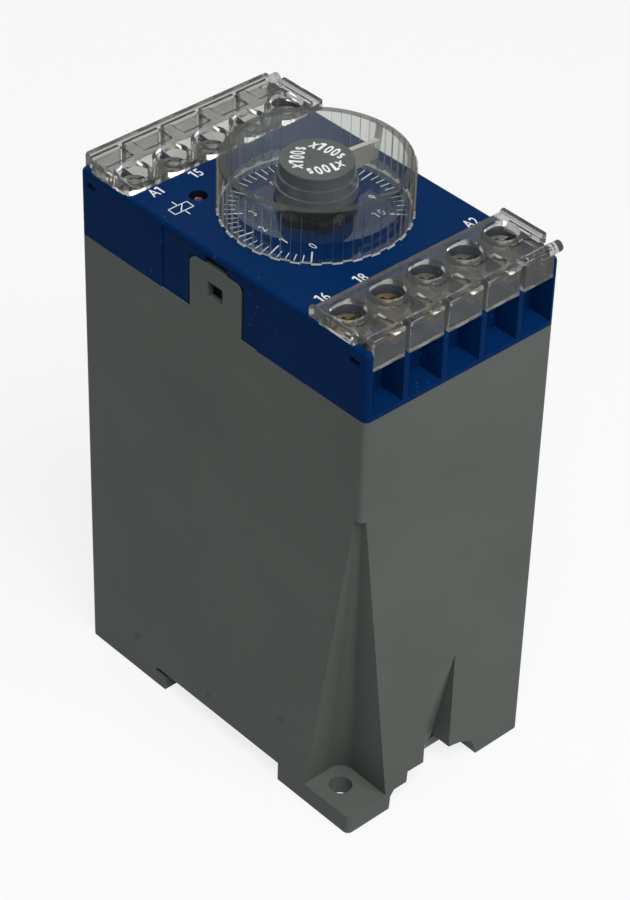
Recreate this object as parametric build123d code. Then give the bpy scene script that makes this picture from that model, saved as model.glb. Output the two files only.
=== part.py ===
from build123d import *
import os
from math import cos, pi, radians, sin

# Timer relay for a 35 mm top-hat rail: a deep grey case, a blue front cover with two terminal
# rows, clear terminal covers and a clear setting dial. Millimetres. X runs along the rail,
# Y up the wall, Z out of the wall. The origin is the centre of the back, which lies on Z = 0.

# How far a cut runs past a face, and how far joined blocks run into each other
CUT = 1.0
JOIN = 0.5

# Case
WIDTH = 45.0
LENGTH = 75.0
CASE_HEIGHT = 96.0
CASE_WALL = 2.0
EDGE_RADIUS = 1.2
FLOOR_SKIN = 2.3
BOARD_RAIL = 1.4
BOARD_RAIL_REACH = 2.0
BOARD_RAIL_PLAY = 0.1
BOARD_FOOT = (-6.0, 26.0)
BOARD_FOOT_RISE = 1.5
BOARD_RAIL_END = 4.0

# Seat for the rail in the back of the case
RAIL_WIDTH = 35.0
RAIL_SIDE_PLAY = 0.1
FLANGE_SLOT = 1.2
HOOK_LIP = 3.0
HOOK_REACH = 2.6
CATCH_SIDE_PLAY = 0.5

# Rail catch and its spring
CATCH_WIDTH = 15.0
CATCH_THICKNESS = 2.0
CATCH_LIFT = 1.1
CATCH_PLAY = 0.12
CATCH_BITE = 1.5
CATCH_TAIL = 2.6
GUIDE_LIP = 1.2
GUIDE_LENGTH = 10.5
TOOL_SLOT = (5.2, 1.5)
WINDOW_WIDTH = 4.4
WINDOW_EDGE = 1.6
SPRING_LENGTH = 5.4
SPRING_WIRE = 0.35
SPRING_RADIUS = 1.3
SPRING_TURNS = 5
SPRING_END_PLAY = 0.05
POST_THICKNESS = 1.3
POST_WIDTH = 3.4
POST_START = 1.0
STOP_PLAY = 0.3

# Screwing points: two lugs on a diagonal
LUG_HOLE = 4.5
LUG_SPACING = (35.0, 60.0)
LUG_THICKNESS = 4.2
LUG_RECESS = (9.5, 12.1)
LUG_RECESS_TOP = (1.2, 1.6)
LUG_RECESS_END = 74.5
LUG_RECESS_RADIUS = 3.0

# Screwdriver groove in the end wall, leading down to the rail catch
GROOVE_HALF = 3.35
GROOVE_TOP = 30.0
GROOVE_KNEE = 16.7
GROOVE_DEPTH = 4.5
GROOVE_FOOT = 7.0
ARCH_TOP = 6.7
ARCH_PROFILE = (
    (-12.0, -1.0), (-11.7, 3.0), (-10.8, 4.2), (-7.6, 4.2), (-7.4, 6.7), (3.3, 6.4), (6.4, 5.7),
    (9.4, 4.3), (10.2, 2.7), (11.2, -1.0),
)

# Side tongues that hold the cover
TONGUE_WIDTH = 13.3
TONGUE_OFFSET = 0.75
TONGUE_HEIGHT = 11.0
TONGUE_RADIUS = 1.6
CATCH_HOLE = (3.9, 3.3)
CATCH_HOLE_LIFT = 4.5
TONGUE_PLAY = 0.2

# Blue cover
COVER_HEIGHT = 14.0
PLATE = 2.0
COVER_SIDE = 1.2
COVER_EDGE = 0.9
COVER_SKIRT = 3.0
COVER_SKIRT_WALL = 1.2
FIT_PLAY = 0.15
TERMINAL_DEPTH = 13.3
BACK_WALL = 1.5
CELL_FLOOR = 2.0
CELL_SILL = 1.0
RIB = 1.2
RIB_TOP = 9.9
PANEL_LENGTH = 25.3
PANEL_OFFSET = 2.35
PANEL_STEP = 0.25
PANEL_TOP = 0.1
SNAP_LEG = (9.0, 1.4)
SNAP_NOSE = 0.9
SNAP_PLAY = 0.15
SLIT = (5.8, 1.5)
SIDE_WINDOW = (2.4, 1.3)
SIDE_WINDOW_PLACE = (3.2, 11.2)

# Terminals
TERMINALS = 5
TERMINAL_GAP = 3.5
CLAMP_END_PLAY = 0.5
CELL_SIDE_LAP = 0.2
CELL_BLOCK_TOP = 7.2
CELL_LIP = 1.0
SCREW_HEAD = 5.6
SCREW_HEAD_HEIGHT = 2.2
SCREW_HEAD_EDGE = 0.5
SCREW_SHANK = 3.5
SCREW_LENGTH = 7.0
SCREW_SLOT = 0.9
SCREW_SLOT_DEPTH = 1.1
SCREW_CROSS = 3.2
SCREW_PLAY = 0.05
SCREW_LIFT = 2.4
SCREW_WELL_PLAY = 0.4
SCREW_WELL_DEPTH = 5.2
CLAMP_SIDE_PLAY = 1.0
CLAMP_LENGTH = 6.2
CLAMP = 1.0
CLAMP_RIB = 0.5
STRIP_WIDTH = 5.0
STRIP = 0.8
STRIP_LEG_WIDTH = 2.0
STRIP_LEG_INSET = 3.6
STRIP_TAIL = 1.2
STRIP_SLOT_PLAY = 0.05

# Clear terminal covers
LID_TOP = 16.2
LID_PLATE = 1.5
LID_HOLE = 6.2
LID_TUBE_WALL = 0.7
LID_TUBE = 2.6
LID_SKIRT = 1.2
LID_SKIRT_BOTTOM = 10.2
LID_PLAY = 0.15
LID_LAP = 0.9
LID_OVERHANG = 0.3
LID_NOTCH = 3.9
LID_EAR = (2.6, 0.8, 4.6)
LID_BAR = 0.5
LID_PEG = 2.2
LID_PEG_REACH = 0.5
LID_PEG_INSET = 0.2
LID_PEG_PLAY = 0.1
LID_SLOT = (1.2, 2.0)
LID_PAN = (6.4, 3.8, 0.6)
LID_PAN_EDGE = 1.9
LID_INSET = 0.1
LID_RAIL_LAP = 0.6
LID_RAIL_END = 1.0
LID_SEAM = 0.2
LID_BAR_WIDTH = 0.9
LID_LIP_BAR = (1.4, 0.3, 1.0)

# Setting dial
DIAL_RADIUS = 17.0
DIAL_WALL = 1.4
DIAL_HEIGHT = 10.3
DIAL_LIFT = 0.4
DIAL_FLOOR_LIFT = 3.2
DIAL_FLOOR = 0.8
DIAL_DRAFT = 0.9
DIAL_TEETH = 30
DIAL_TOOTH = 0.4
DIAL_TOOTH_END = 0.8
HUB_RADIUS = 7.4
HUB_STEP = 0.45
HUB_STEPS = 3
CAP_RADIUS = 6.6
CAP_THICKNESS = 1.0
CAP_SINK = 0.35
CAP_SEAT = 0.4
CAP_EDGE = 0.25
FIN_WIDTH = 1.0
FIN_ANGLE = 3.0
FIN_FALL = 1.6
FIN_DROP = 0.3
FIN_LAP = (2.0, 0.2)
SHAFT_END = 1.2

# Potentiometer behind the dial
SHAFT = 6.0
SHAFT_PLAY = 0.05
NECK = 9.5
NECK_HEIGHT = 1.7
NECK_PLAY = 0.1
NUT = 13.0
NUT_THICKNESS = 1.4
POT_BODY = 17.0
POT_DEPTH = 8.0
POT_LEG = 0.9
POT_LEG_SPREAD = 5.0
POT_LEG_PLACE = (0.6, 0.6)
POT_TONGUE = (1.6, 1.5, 2.0)
POT_FLOOR = 1.4
SHAFT_FLOOR = 1.5

# Indicator lamp
LAMP = 3.0
LAMP_PLACE = (-12.5, 16.8)
LAMP_HOLE_PLAY = 0.2
LAMP_SINK = 0.5
LAMP_BODY = 5.0
LAMP_LEG = 0.5
LAMP_LEG_SPREAD = 2.54
LAMP_FLANGE = (0.4, 1.0)

# Boards
BOARD = 1.6
FRONT_BOARD_DROP = 4.6
FRONT_BOARD_GAP = (1.7, 3.5)
SIDE_BOARD_X = -13.0
SIDE_BOARD_INSET = (16.0, 2.9)
BOARD_GAP = 0.6
LINK_PIN = 0.64
LINK_PINS = 6
LINK_PITCH = 2.54
LINK_MIDDLE = 2.0
LINK_STAND = 1.2
LINK_HOLDER = 2.5
LINK_PLAY = 0.05
SOLDER_TAIL = 0.8

# Transformer
CORE = (22.0, 30.0, 25.0)
CORE_PLACE = (2.0, 2.0)
CORE_YOKE = 5.0
CORE_LEG = 10.0
BOBBIN_WALL = 1.0
WINDING_BULGE = 4.5
WINDING_PLAY = 0.3
WINDING_FOOT = 3.0
WINDING_SINK = (0.6, 0.5)
TRANSFORMER_FOOT = 1.2

# Switching relay
RELAY_PLACE = (-6.0, 50.0)
RELAY_BASE = (2.5, 31.0, 16.0)
RELAY_BASE_EDGE = 1.0
COIL_RADIUS = 6.0
COIL_LENGTH = 16.0
FLANGE_RADIUS = 7.0
FLANGE = 1.2
CORE_ROD = 5.0
CORE_ROD_PLAY = 0.05
ARMATURE_REACH = 1.0
YOKE = 1.5
YOKE_WIDTH = 12.0
COIL_PLAY = 0.3
COIL_LIFT = 1.0
COIL_FOOT = (3.0, 0.9)
ARMATURE = 1.4
ARMATURE_ANGLE = 5.0
HINGE_PLAY = 0.1
BLADE = 0.5
BLADE_WIDTH = 5.0
BLADE_LIFT = 1.6
BLADE_LAP = 2.0
CONTACT_HEIGHT = 0.5
CONTACT_PLAY = 0.35
CONTACT_GAP = 1.4
CONTACT_RADIUS = 1.3
CONTACT_POST = 0.8

# Small parts on the side board
CAPACITOR = (12.5, 22.0)
CAPACITOR_PLACE = (25.0, 22.0)
CAPACITOR_EDGE = 0.8
BOX_CAPACITOR = (7.5, 13.0, 12.0)
BOX_CAPACITOR_PLACE = (-13.5, 72.0)
CHIP = (3.4, 19.5, 6.4)
CHIP_PLACE = (8.0, 72.0)
CHIP_LEGS = 8
CHIP_LEG = (0.5, 2.54, 0.8)
CHIP_STAND = 0.6
RESISTOR = (2.4, 6.4)
RESISTORS = 6
RESISTOR_PITCH = 4.4
RESISTOR_PLACE = (-17.0, 43.0)
LEAD = 0.7
LEAD_LIFT = 0.6
LEAD_REACH = 1.5
DIODE = (2.6, 5.0)
DIODES = 4
DIODE_PLACE = (11.0, 43.0)
TRANSISTOR = (2.4, 4.6)
TRANSISTOR_PLACE = (27.0, 72.0)
TRANSISTOR_STAND = 2.0
TRANSISTOR_FLAT = 1.4
TRANSISTOR_LEGS = (1.27, 0.5)

# Worked-out sizes
HALF_W = WIDTH / 2
HALF_L = LENGTH / 2
PITCH = WIDTH / TERMINALS
CLAMP_WIDTH = PITCH - RIB - 2 * CLAMP_SIDE_PLAY
PLATE_HALF_LENGTH = HALF_L - TERMINAL_DEPTH
TERMINAL_Y = PLATE_HALF_LENGTH + TERMINAL_GAP
STRIP_LEG_Y = PLATE_HALF_LENGTH - STRIP_LEG_INSET
CELL_LIP_Y = TERMINAL_Y + CLAMP_LENGTH / 2 + CLAMP_END_PLAY
CELL_BLOCK_Y = CELL_LIP_Y + CELL_LIP
SIDE_WINDOW_Y = HALF_L - SIDE_WINDOW_PLACE[0]
FRONT = CASE_HEIGHT + COVER_HEIGHT
PLATE_UNDER = FRONT - PLATE
CHANNEL = HOOK_LIP + FLANGE_SLOT
RAIL_TOP_EDGE = RAIL_WIDTH / 2 + RAIL_SIDE_PLAY
HOOK_TIP = RAIL_TOP_EDGE - HOOK_REACH
CATCH_WALL = -RAIL_WIDTH / 2 - CATCH_SIDE_PLAY
INSIDE_FLOOR = ARCH_TOP + FLOOR_SKIN
CELL_BOTTOM = CASE_HEIGHT + CELL_SILL
BOARD_TOP = CASE_HEIGHT - FRONT_BOARD_DROP + BOARD
BOARD_UNDER = BOARD_TOP - BOARD
STRIP_UNDER = CASE_HEIGHT + CELL_BLOCK_TOP
STRIP_TOP = STRIP_UNDER + STRIP
CLAMP_UNDER = STRIP_TOP + SCREW_PLAY + SCREW_LIFT
CLAMP_TOP = CLAMP_UNDER + CLAMP
SCREW_HEAD_UNDER = CLAMP_TOP
SCREW_HEAD_TOP = SCREW_HEAD_UNDER + SCREW_HEAD_HEIGHT
DIAL_BOTTOM = FRONT + DIAL_LIFT
DIAL_TOP = DIAL_BOTTOM + DIAL_HEIGHT
DIAL_FLOOR_UNDER = DIAL_BOTTOM + DIAL_FLOOR_LIFT
DIAL_FLOOR_TOP = DIAL_FLOOR_UNDER + DIAL_FLOOR
CAP_TOP = DIAL_TOP
CAP_UNDER = CAP_TOP - CAP_THICKNESS
BOARD_FACE = SIDE_BOARD_X + BOARD
POT_LEG_Y = -POT_BODY / 2 - POT_LEG_PLACE[0]


def block(x0, x1, y0, y1, z0, z1):
    """A box from its lowest to its highest corner."""
    return Pos((x0 + x1) / 2, (y0 + y1) / 2, (z0 + z1) / 2) * Box(x1 - x0, y1 - y0, z1 - z0)


def rod_z(radius, x, y, z0, z1):
    return Pos(x, y, (z0 + z1) / 2) * Cylinder(radius, z1 - z0)


def rod_y(radius, x, y0, y1, z):
    return Pos(x, (y0 + y1) / 2, z) * Rot(90, 0, 0) * Cylinder(radius, y1 - y0)


def rod_x(radius, x0, x1, y, z):
    return Pos((x0 + x1) / 2, y, z) * Rot(0, 90, 0) * Cylinder(radius, x1 - x0)


def turned(shape):
    """The same shape at the opposite corner: half a turn about Z."""
    return Rot(0, 0, 180) * shape


def whole(shape):
    """One plain solid or compound, ready to write."""
    solids = shape.solids()
    if len(solids) == 1:
        return solids[0]
    return Compound(children=list(solids))


def save(name, shape):
    export_step(whole(shape), "parts/" + name + ".step")


os.makedirs("parts", exist_ok=True)


# Case
def recess_outline(reach_x, reach_y, radius, out, z):
    """Plan of the corner recess at the left lower corner, from outside the corner inwards."""
    x0 = -HALF_W - out
    y0 = -HALF_L - out
    x1 = -HALF_W + reach_x
    y1 = -HALF_L + reach_y
    bend = radius * (1 - cos(pi / 4))
    path = [
        Line((x0, y0, z), (x1, y0, z)),
        Line((x1, y0, z), (x1, y1 - radius, z)),
        ThreePointArc((x1, y1 - radius, z), (x1 - bend, y1 - bend, z), (x1 - radius, y1, z)),
        Line((x1 - radius, y1, z), (x0, y1, z)),
        Line((x0, y1, z), (x0, y0, z)),
    ]
    return make_face(Wire(path))


def lug_recess(skin):
    """Tapered recess above a lug. A skin above 0 gives the solid that keeps the cavity off it."""
    base = LUG_THICKNESS if skin == 0 else 0.0
    low = recess_outline(
        LUG_RECESS[0] + skin, LUG_RECESS[1] + skin, LUG_RECESS_RADIUS + skin, EDGE_RADIUS, base
    )
    top_radius = LUG_RECESS_TOP[0] / 2 + skin
    high = recess_outline(
        LUG_RECESS_TOP[0] + skin, LUG_RECESS_TOP[1] + skin, top_radius, EDGE_RADIUS,
        LUG_RECESS_END + skin,
    )
    return loft([low, high], ruled=True)


def groove(skin):
    """Wedge with a tilted floor, cut into the lower end wall for a screwdriver."""
    half = GROOVE_HALF + skin
    top = GROOVE_TOP + 2 * skin
    wedge = block(-half, half, -HALF_L - CUT, -HALF_L + 2 * GROOVE_DEPTH, ARCH_TOP / 2, top)
    apex = Vector(GROOVE_HALF, -HALF_L, GROOVE_TOP)
    knee = Vector(-GROOVE_HALF, -HALF_L, GROOVE_KNEE)
    deep = Vector(GROOVE_HALF, -HALF_L + GROOVE_DEPTH, GROOVE_FOOT)
    normal = (knee - apex).cross(deep - apex).normalized()
    if normal.Y > 0:
        normal = normal * -1
    tilted = Plane(origin=apex - normal * skin, z_dir=normal)
    return split(wedge, bisect_by=tilted, keep=Keep.TOP)


def arch():
    """Raised lower edge of the end wall, with the room behind it where the catch is reached."""
    face = make_face(Wire(Polyline(*[(x, -HALF_L - CUT, z) for x, z in ARCH_PROFILE], close=True).edges()))
    return extrude(face, amount=ARCH_DEPTH + CUT, dir=(0, 1, 0))


GUIDE_OUT = CATCH_WALL - GUIDE_LENGTH
CATCH_INNER = -RAIL_WIDTH / 2 + CATCH_BITE
WINDOW_TOP = CATCH_WALL - WINDOW_EDGE
POST_INNER = WINDOW_TOP - SPRING_LENGTH
POST_OUTER = POST_INNER - POST_THICKNESS
WINDOW_LOW = POST_OUTER - STOP_PLAY
CATCH_OUTER = GUIDE_OUT - CATCH_TAIL
ARCH_DEPTH = HALF_L + GUIDE_OUT


def tongue(play):
    """Side tongue at the left face. A play above 0 gives the opening around it in the cover."""
    y0 = TONGUE_OFFSET - TONGUE_WIDTH / 2 - play
    y1 = TONGUE_OFFSET + TONGUE_WIDTH / 2 + play
    depth = CASE_WALL if play == 0 else CASE_WALL + CUT
    start = -HALF_W if play == 0 else -HALF_W - CUT
    plain = block(start, start + depth, y0, y1, CASE_HEIGHT - CUT, CASE_HEIGHT + TONGUE_HEIGHT + play)
    tops = plain.edges().filter_by(Axis.X).group_by(Axis.Z)[-1]
    return fillet(tops, TONGUE_RADIUS + play)


def case():
    body = block(-HALF_W, HALF_W, -HALF_L, HALF_L, 0, CASE_HEIGHT)
    body = fillet(body.edges().filter_by(Axis.Z), EDGE_RADIUS)
    inside_w = HALF_W - CASE_WALL
    inside_l = HALF_L - CASE_WALL
    cavity = block(-inside_w, inside_w, -inside_l, inside_l, INSIDE_FLOOR, CASE_HEIGHT + CUT)
    relief = block(
        -inside_w, inside_w, CATCH_WALL + CASE_WALL, HOOK_TIP - CASE_WALL,
        CHANNEL + FLOOR_SKIN, INSIDE_FLOOR + CUT,
    )
    cavity = cavity + relief
    cavity = cavity - lug_recess(CASE_WALL) - turned(lug_recess(CASE_WALL)) - groove(CASE_WALL)
    body = body - cavity
    body = body + tongue(0) + turned(tongue(0))
    body = body - lug_recess(0) - turned(lug_recess(0)) - groove(0) - arch()

    # Rail seat: channel along X with an undercut behind the fixed hook
    body = body - block(-HALF_W - CUT, HALF_W + CUT, CATCH_WALL, HOOK_TIP, -CUT, CHANNEL)
    body = body - block(-HALF_W - CUT, HALF_W + CUT, HOOK_TIP - CUT, RAIL_TOP_EDGE, HOOK_LIP, CHANNEL)

    # Guide of the rail catch: a slot with two side grooves and the post that the spring pushes on
    inner = CATCH_WIDTH / 2 - GUIDE_LIP
    outer = CATCH_WIDTH / 2 + CATCH_PLAY
    low = CATCH_LIFT - CATCH_PLAY
    high = CATCH_LIFT + CATCH_THICKNESS + CATCH_PLAY
    body = body - block(-inner, inner, GUIDE_OUT - CUT, CATCH_WALL + CUT, -CUT, CHANNEL)
    body = body - block(-outer, outer, GUIDE_OUT - CUT, CATCH_WALL + CUT, low, high)
    post = block(-POST_WIDTH / 2, POST_WIDTH / 2, POST_OUTER, POST_INNER, POST_START, CHANNEL + CUT)
    body = body + post

    # Lug holes
    hole = rod_z(LUG_HOLE / 2, -LUG_SPACING[0] / 2, -LUG_SPACING[1] / 2, -CUT, LUG_THICKNESS + CUT)
    body = body - hole - turned(hole)

    # Square catch holes in the tongues
    z0 = CASE_HEIGHT + CATCH_HOLE_LIFT
    square = block(
        -HALF_W - CUT, -HALF_W + CASE_WALL + CUT, TONGUE_OFFSET - CATCH_HOLE[0] / 2,
        TONGUE_OFFSET + CATCH_HOLE[0] / 2, z0, z0 + CATCH_HOLE[1],
    )
    body = body - square - turned(square)

    # Rails that hold the edges of the upright board
    for side in (-1, 1):
        x0 = SIDE_BOARD_X - BOARD_RAIL_PLAY - BOARD_RAIL if side < 0 else BOARD_FACE + BOARD_RAIL_PLAY
        rib = block(
            x0, x0 + BOARD_RAIL, inside_l - BOARD_RAIL_REACH, inside_l + JOIN,
            INSIDE_FLOOR - JOIN, BOARD_UNDER - BOARD_RAIL_END,
        )
        foot = block(
            x0, x0 + BOARD_RAIL, *BOARD_FOOT, CHANNEL + FLOOR_SKIN - JOIN, INSIDE_FLOOR + BOARD_FOOT_RISE
        )
        body = body + rib + foot
    return body


# Rail catch
def rail_catch():
    half = CATCH_WIDTH / 2
    z0 = CATCH_LIFT
    z1 = CATCH_LIFT + CATCH_THICKNESS
    plate = block(-half, half, CATCH_OUTER, CATCH_INNER, z0, z1)
    lead = plate.edges().filter_by(Axis.X).group_by(Axis.Y)[-1].group_by(Axis.Z)[0]
    plate = chamfer(lead, CATCH_THICKNESS / 2)
    window = block(-WINDOW_WIDTH / 2, WINDOW_WIDTH / 2, WINDOW_LOW, WINDOW_TOP, z0 - CUT, z1 + CUT)
    slot_y = (CATCH_OUTER + WINDOW_LOW) / 2
    tool = block(
        -TOOL_SLOT[0] / 2, TOOL_SLOT[0] / 2, slot_y - TOOL_SLOT[1] / 2, slot_y + TOOL_SLOT[1] / 2,
        z0 - CUT, z1 + CUT,
    )
    return plate - window - tool


def catch_spring():
    span = SPRING_LENGTH - SPRING_WIRE - 2 * SPRING_END_PLAY
    coil_radius = SPRING_RADIUS - SPRING_WIRE / 2
    path = Helix(pitch=span / SPRING_TURNS, height=span, radius=coil_radius)
    section = Plane(origin=path @ 0, z_dir=path % 0) * Circle(SPRING_WIRE / 2)
    coil = sweep(section, path=path, is_frenet=True)
    middle = CATCH_LIFT + CATCH_THICKNESS / 2
    start = POST_INNER + SPRING_END_PLAY + SPRING_WIRE / 2
    return Pos(0, start, middle) * Rot(-90, 0, 0) * coil


# Blue front cover
def terminal_x(index):
    return (index - (TERMINALS - 1) / 2) * PITCH


def front_cover():
    body = block(-HALF_W, HALF_W, -HALF_L, HALF_L, CASE_HEIGHT, FRONT)
    body = fillet(body.edges().filter_by(Axis.Z), EDGE_RADIUS)
    long_tops = body.edges().filter_by(Axis.Y).group_by(Axis.Z)[-1]
    body = fillet(long_tops, COVER_EDGE)
    inside_w = HALF_W - CASE_WALL
    side = HALF_W - COVER_SIDE
    inside_l = PLATE_HALF_LENGTH - BACK_WALL
    body = body - block(-side, side, -inside_l, inside_l, CASE_HEIGHT - CUT, PLATE_UNDER)
    for end in (-1, 1):
        y0 = min(end * PLATE_HALF_LENGTH, end * (HALF_L + CUT))
        y1 = max(end * PLATE_HALF_LENGTH, end * (HALF_L + CUT))
        body = body - block(-side, side, y0, y1, CELL_BOTTOM, FRONT + CUT)
    # Floor of each terminal row, let into the mouth of the case, and the ribs between the cells
    mouth_w = inside_w - FIT_PLAY
    mouth_l = HALF_L - CASE_WALL - FIT_PLAY
    skirt_z = CASE_HEIGHT - COVER_SKIRT
    for end in (-1, 1):
        y0 = min(end * inside_l, end * mouth_l)
        y1 = max(end * inside_l, end * mouth_l)
        body = body + block(-mouth_w, mouth_w, y0, y1, CELL_BOTTOM - CELL_FLOOR, CELL_BOTTOM)
        outer = end * mouth_l
        rim = block(
            -mouth_w, mouth_w, min(outer, outer - end * COVER_SKIRT_WALL),
            max(outer, outer - end * COVER_SKIRT_WALL), skirt_z, CASE_HEIGHT,
        )
        body = body + rim
        for index in range(TERMINALS - 1):
            x = terminal_x(index) + PITCH / 2
            y0 = min(end * (PLATE_HALF_LENGTH - JOIN), end * HALF_L)
            y1 = max(end * (PLATE_HALF_LENGTH - JOIN), end * HALF_L)
            body = body + block(x - RIB / 2, x + RIB / 2, y0, y1, CELL_BOTTOM - JOIN, CASE_HEIGHT + RIB_TOP)
        y0 = min(end * (PLATE_HALF_LENGTH - JOIN), end * CELL_BLOCK_Y)
        y1 = max(end * (PLATE_HALF_LENGTH - JOIN), end * CELL_BLOCK_Y)
        reach = side + CELL_SIDE_LAP
        body = body + block(-reach, reach, y0, y1, CELL_BOTTOM - JOIN, STRIP_UNDER)
        y0 = min(end * CELL_LIP_Y, end * CELL_BLOCK_Y)
        y1 = max(end * CELL_LIP_Y, end * CELL_BLOCK_Y)
        body = body + block(-reach, reach, y0, y1, STRIP_UNDER - JOIN, STRIP_TOP)
        for index in range(TERMINALS):
            x = terminal_x(index)
            well = rod_z(
                SCREW_SHANK / 2 + SCREW_WELL_PLAY, x, end * TERMINAL_Y,
                STRIP_UNDER - SCREW_WELL_DEPTH, STRIP_UNDER + CUT,
            )
            body = body - well
            half = STRIP_WIDTH / 2 + STRIP_SLOT_PLAY
            y0 = min(end * (inside_l - CUT), end * (PLATE_HALF_LENGTH + CUT))
            y1 = max(end * (inside_l - CUT), end * (PLATE_HALF_LENGTH + CUT))
            body = body - block(
                x - half, x + half, y0, y1, STRIP_UNDER - STRIP_SLOT_PLAY, STRIP_TOP + STRIP_SLOT_PLAY
            )
        window_y = SIDE_WINDOW_Y
        window_z = CASE_HEIGHT + SIDE_WINDOW_PLACE[1]
        for face in (-1, 1):
            x0 = min(face * (side - CUT), face * (HALF_W + CUT))
            x1 = max(face * (side - CUT), face * (HALF_W + CUT))
            body = body - block(
                x0, x1, end * window_y - SIDE_WINDOW[0] / 2, end * window_y + SIDE_WINDOW[0] / 2,
                window_z - SIDE_WINDOW[1] / 2, window_z + SIDE_WINDOW[1] / 2,
            )
    # Side faces: opening for the tongue, slit above it, stepped panel, snap leg behind it
    opening = tongue(TONGUE_PLAY)
    slit = block(
        -HALF_W - CUT, -side + JOIN, TONGUE_OFFSET - SLIT[0] / 2, TONGUE_OFFSET + SLIT[0] / 2,
        CASE_HEIGHT + TONGUE_HEIGHT, CASE_HEIGHT + TONGUE_HEIGHT + SLIT[1],
    )
    panel = block(
        -HALF_W - CUT, -HALF_W + PANEL_STEP, PANEL_OFFSET - PANEL_LENGTH / 2,
        PANEL_OFFSET + PANEL_LENGTH / 2, CASE_HEIGHT - CUT, FRONT - COVER_EDGE - PANEL_TOP,
    )
    body = body - opening - turned(opening) - slit - turned(slit) - panel - turned(panel)
    leg_x = -HALF_W + CASE_WALL + FIT_PLAY
    nose_z = CASE_HEIGHT + CATCH_HOLE_LIFT + SNAP_PLAY
    leg = block(
        leg_x, leg_x + SNAP_LEG[1], TONGUE_OFFSET - SNAP_LEG[0] / 2, TONGUE_OFFSET + SNAP_LEG[0] / 2,
        nose_z - CUT, PLATE_UNDER + JOIN,
    )
    nose = block(
        leg_x - SNAP_NOSE, leg_x + JOIN, TONGUE_OFFSET - CATCH_HOLE[0] / 2 + SNAP_PLAY,
        TONGUE_OFFSET + CATCH_HOLE[0] / 2 - SNAP_PLAY, nose_z, nose_z + CATCH_HOLE[1] - 2 * SNAP_PLAY,
    )
    body = body + leg + nose + turned(leg + nose)
    # Holes for the potentiometer neck and the lamp
    body = body - rod_z(NECK / 2 + NECK_PLAY, 0, 0, PLATE_UNDER - CUT, FRONT + CUT)
    body = body - rod_z(LAMP / 2 + LAMP_HOLE_PLAY, *LAMP_PLACE, PLATE_UNDER - CUT, FRONT + CUT)
    return body


# Clear terminal cover over the lower row. The open kind has slots through the edge of its plate.
def terminal_lid(open_edge):
    top = CASE_HEIGHT + LID_TOP
    under = top - LID_PLATE
    inner_y = -PLATE_HALF_LENGTH + LID_LAP
    cell_y = -PLATE_HALF_LENGTH - LID_PLAY
    skirt_out = -HALF_L + LID_INSET
    skirt_in = skirt_out + LID_SKIRT
    side = HALF_W - COVER_SIDE - LID_PLAY
    wide = HALF_W + LID_OVERHANG
    notch_y = -HALF_L + LID_NOTCH
    plate = block(-wide, wide, notch_y, inner_y, under, top)
    plate = plate + block(-side, side, skirt_out, notch_y + JOIN, under, top)
    # End rails that sit on the side walls of the blue cover
    for face in (-1, 1):
        x0 = min(face * (side - LID_RAIL_LAP), face * (HALF_W - LID_INSET))
        x1 = max(face * (side - LID_RAIL_LAP), face * (HALF_W - LID_INSET))
        plate = plate + block(x0, x1, notch_y, cell_y - LID_RAIL_END, FRONT, under + LID_SEAM)
        ear_y = -SIDE_WINDOW_Y
        x0 = min(face * side, face * (side - LID_EAR[1]))
        x1 = max(face * side, face * (side - LID_EAR[1]))
        ear = block(
            x0, x1, ear_y - LID_EAR[0] / 2, ear_y + LID_EAR[0] / 2, under - LID_EAR[2], under + LID_SEAM
        )
        plate = plate + ear
        bar = block(
            min(face * (wide - LID_BAR_WIDTH), face * wide), max(face * (wide - LID_BAR_WIDTH), face * wide),
            notch_y, inner_y, top - LID_SEAM, top + LID_BAR,
        )
        plate = plate + bar
    peg = rod_x(
        LID_PEG / 2, side - LID_PEG, wide + LID_PEG_REACH, -HALF_L + LID_PEG / 2 + LID_PEG_INSET,
        FRONT + LID_PEG / 2 + LID_PEG_PLAY,
    )
    plate = plate + peg
    skirt = block(-side, side, skirt_out, skirt_in, CASE_HEIGHT + LID_SKIRT_BOTTOM, under + JOIN)
    plate = plate + skirt
    room = block(-side, side, -HALF_L, cell_y, under - LID_TUBE, top + CUT)
    for index in range(TERMINALS):
        x = terminal_x(index)
        tube = rod_z(LID_HOLE / 2 + LID_TUBE_WALL, x, -TERMINAL_Y, under - LID_TUBE, under + JOIN) & room
        plate = plate + tube
    # Lip bar along the outer edge: one for each segment, or one over the whole width
    bar_end, bar_start, bar_width = LID_LIP_BAR
    y0 = skirt_out + bar_start
    half = PITCH / 2 - bar_end
    spans = [(terminal_x(index) - half, terminal_x(index) + half) for index in range(TERMINALS)]
    if not open_edge:
        spans = [(-side, side)]
    for x0, x1 in spans:
        plate = plate + block(x0, x1, y0, y0 + bar_width, top - LID_SEAM, top + LID_BAR)
    for index in range(TERMINALS):
        x = terminal_x(index)
        plate = plate - rod_z(LID_HOLE / 2, x, -TERMINAL_Y, under - LID_TUBE - CUT, top + CUT)
    # Pans between the holes and the outer edge
    pan_x, pan_y, pan_depth = LID_PAN
    for index in range(TERMINALS):
        x = terminal_x(index)
        y0 = skirt_out + LID_PAN_EDGE
        pan = block(x - pan_x / 2, x + pan_x / 2, y0, y0 + pan_y, top - pan_depth, top + CUT)
        plate = plate - pan
    # Slots over the ribs, through the skirt and in the open kind the edge of the plate
    slot_x, slot_y = LID_SLOT
    slot_top = top + CUT if open_edge else under
    for index in range(TERMINALS - 1):
        x = terminal_x(index) + PITCH / 2
        plate = plate - block(
            x - slot_x / 2, x + slot_x / 2, skirt_out - CUT, skirt_out + slot_y,
            CASE_HEIGHT + LID_SKIRT_BOTTOM - CUT, slot_top,
        )
    return plate


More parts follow.
